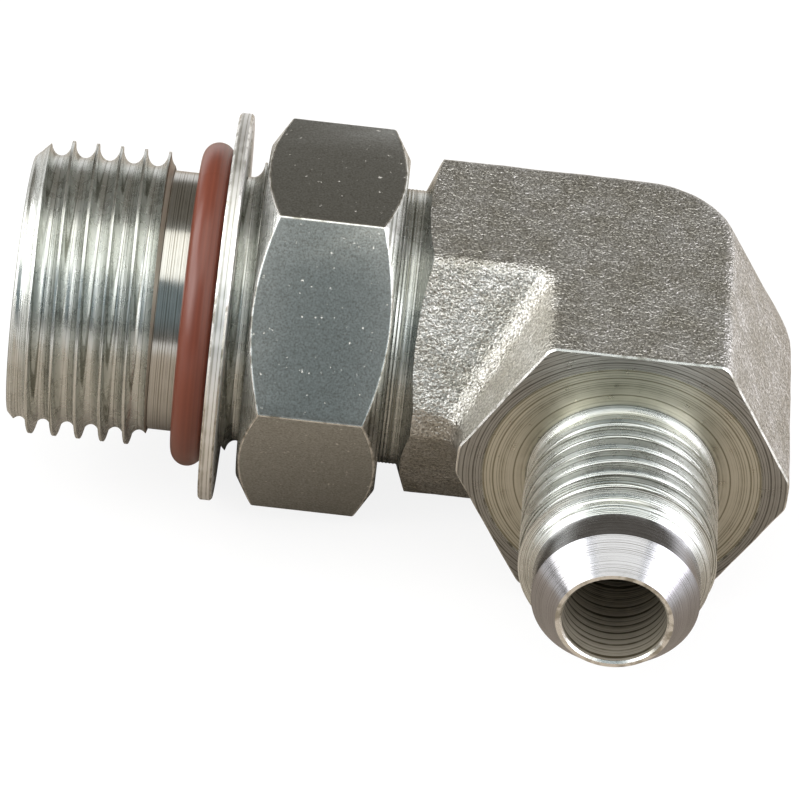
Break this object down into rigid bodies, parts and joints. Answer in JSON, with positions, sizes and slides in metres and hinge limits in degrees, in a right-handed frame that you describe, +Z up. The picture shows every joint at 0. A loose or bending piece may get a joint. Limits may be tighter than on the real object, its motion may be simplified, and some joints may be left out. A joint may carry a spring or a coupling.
{
  "type": "adjustable elbow hydraulic fitting",
  "caption": "Right-angle hydraulic fitting with a forged hexagon body, a straight-thread port end with lock nut, washer and rubber seal, and a threaded end with a conical flare seat.",
  "frame": {"origin": "where the centre line of the port leg's passage crosses the centre line of the flared leg's passage", "axes": "-X along the port leg out of its thread, -Y along the flared leg out of its seat, +Z up, square to both legs"},
  "size_m": [0.0579, 0.0463, 0.0292],
  "materials": {
    "body_plating": "zinc plated, forged grain on the body and turned threads",
    "nut_plating": "zinc plated, satin flats",
    "washer_plating": "zinc plated, satin",
    "seal_rubber": "moulded, slightly glossy"
  },
  "bodies": {
    "elbow": {"elbow_body": "body_plating", "o_ring": "seal_rubber"},
    "washer": {"backup_washer": "washer_plating"},
    "nut": {"lock_nut": "nut_plating"}
  },
  "joints": [
    {"name": "washer_spin", "type": "hinge", "parent": "elbow", "child": "washer", "pos_m": [-0.0304, 0, 0], "axis": [-1, 0, 0], "range_deg": [-277, 297]},
    {"name": "nut_travel", "type": "slide", "parent": "washer", "child": "nut", "axis": [-1, 0, 0], "range_m": [-0.0014, 0.0015]}
  ],
  "couplings": [
    {"joint": "nut_travel", "follows": "washer_spin", "m_per_rad": 0.00028875}
  ]
}
